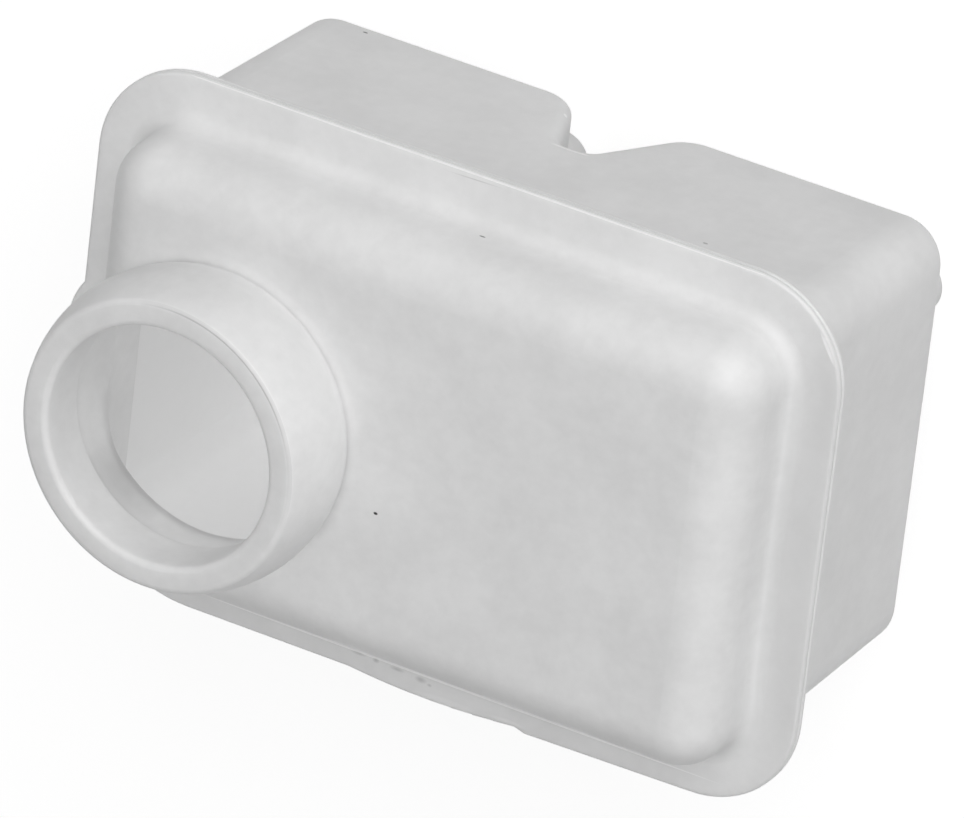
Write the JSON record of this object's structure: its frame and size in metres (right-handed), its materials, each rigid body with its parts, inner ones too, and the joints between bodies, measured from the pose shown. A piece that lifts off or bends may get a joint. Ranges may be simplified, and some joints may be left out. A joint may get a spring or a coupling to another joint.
{
  "type": "brake fluid reservoir",
  "caption": "Brake fluid reservoir: drafted tank with a notch between its chambers, a trimmed weld flange, a wide barrel-shaped filler neck and outlet spigots below.",
  "frame": {"origin": "on the axis of the rear outlet, at the height where its grommet seals", "axes": "+Z out of the filler neck, +X along the tank from the filler neck's end towards the front outlet, +Y towards the side that the outlets stand near"},
  "size_m": [0.1315, 0.0889, 0.0911],
  "materials": {
    "polypropylene": "satin"
  },
  "bodies": {
    "root": {"lower_shell": "polypropylene", "upper_shell": "polypropylene"}
  },
  "joints": []
}
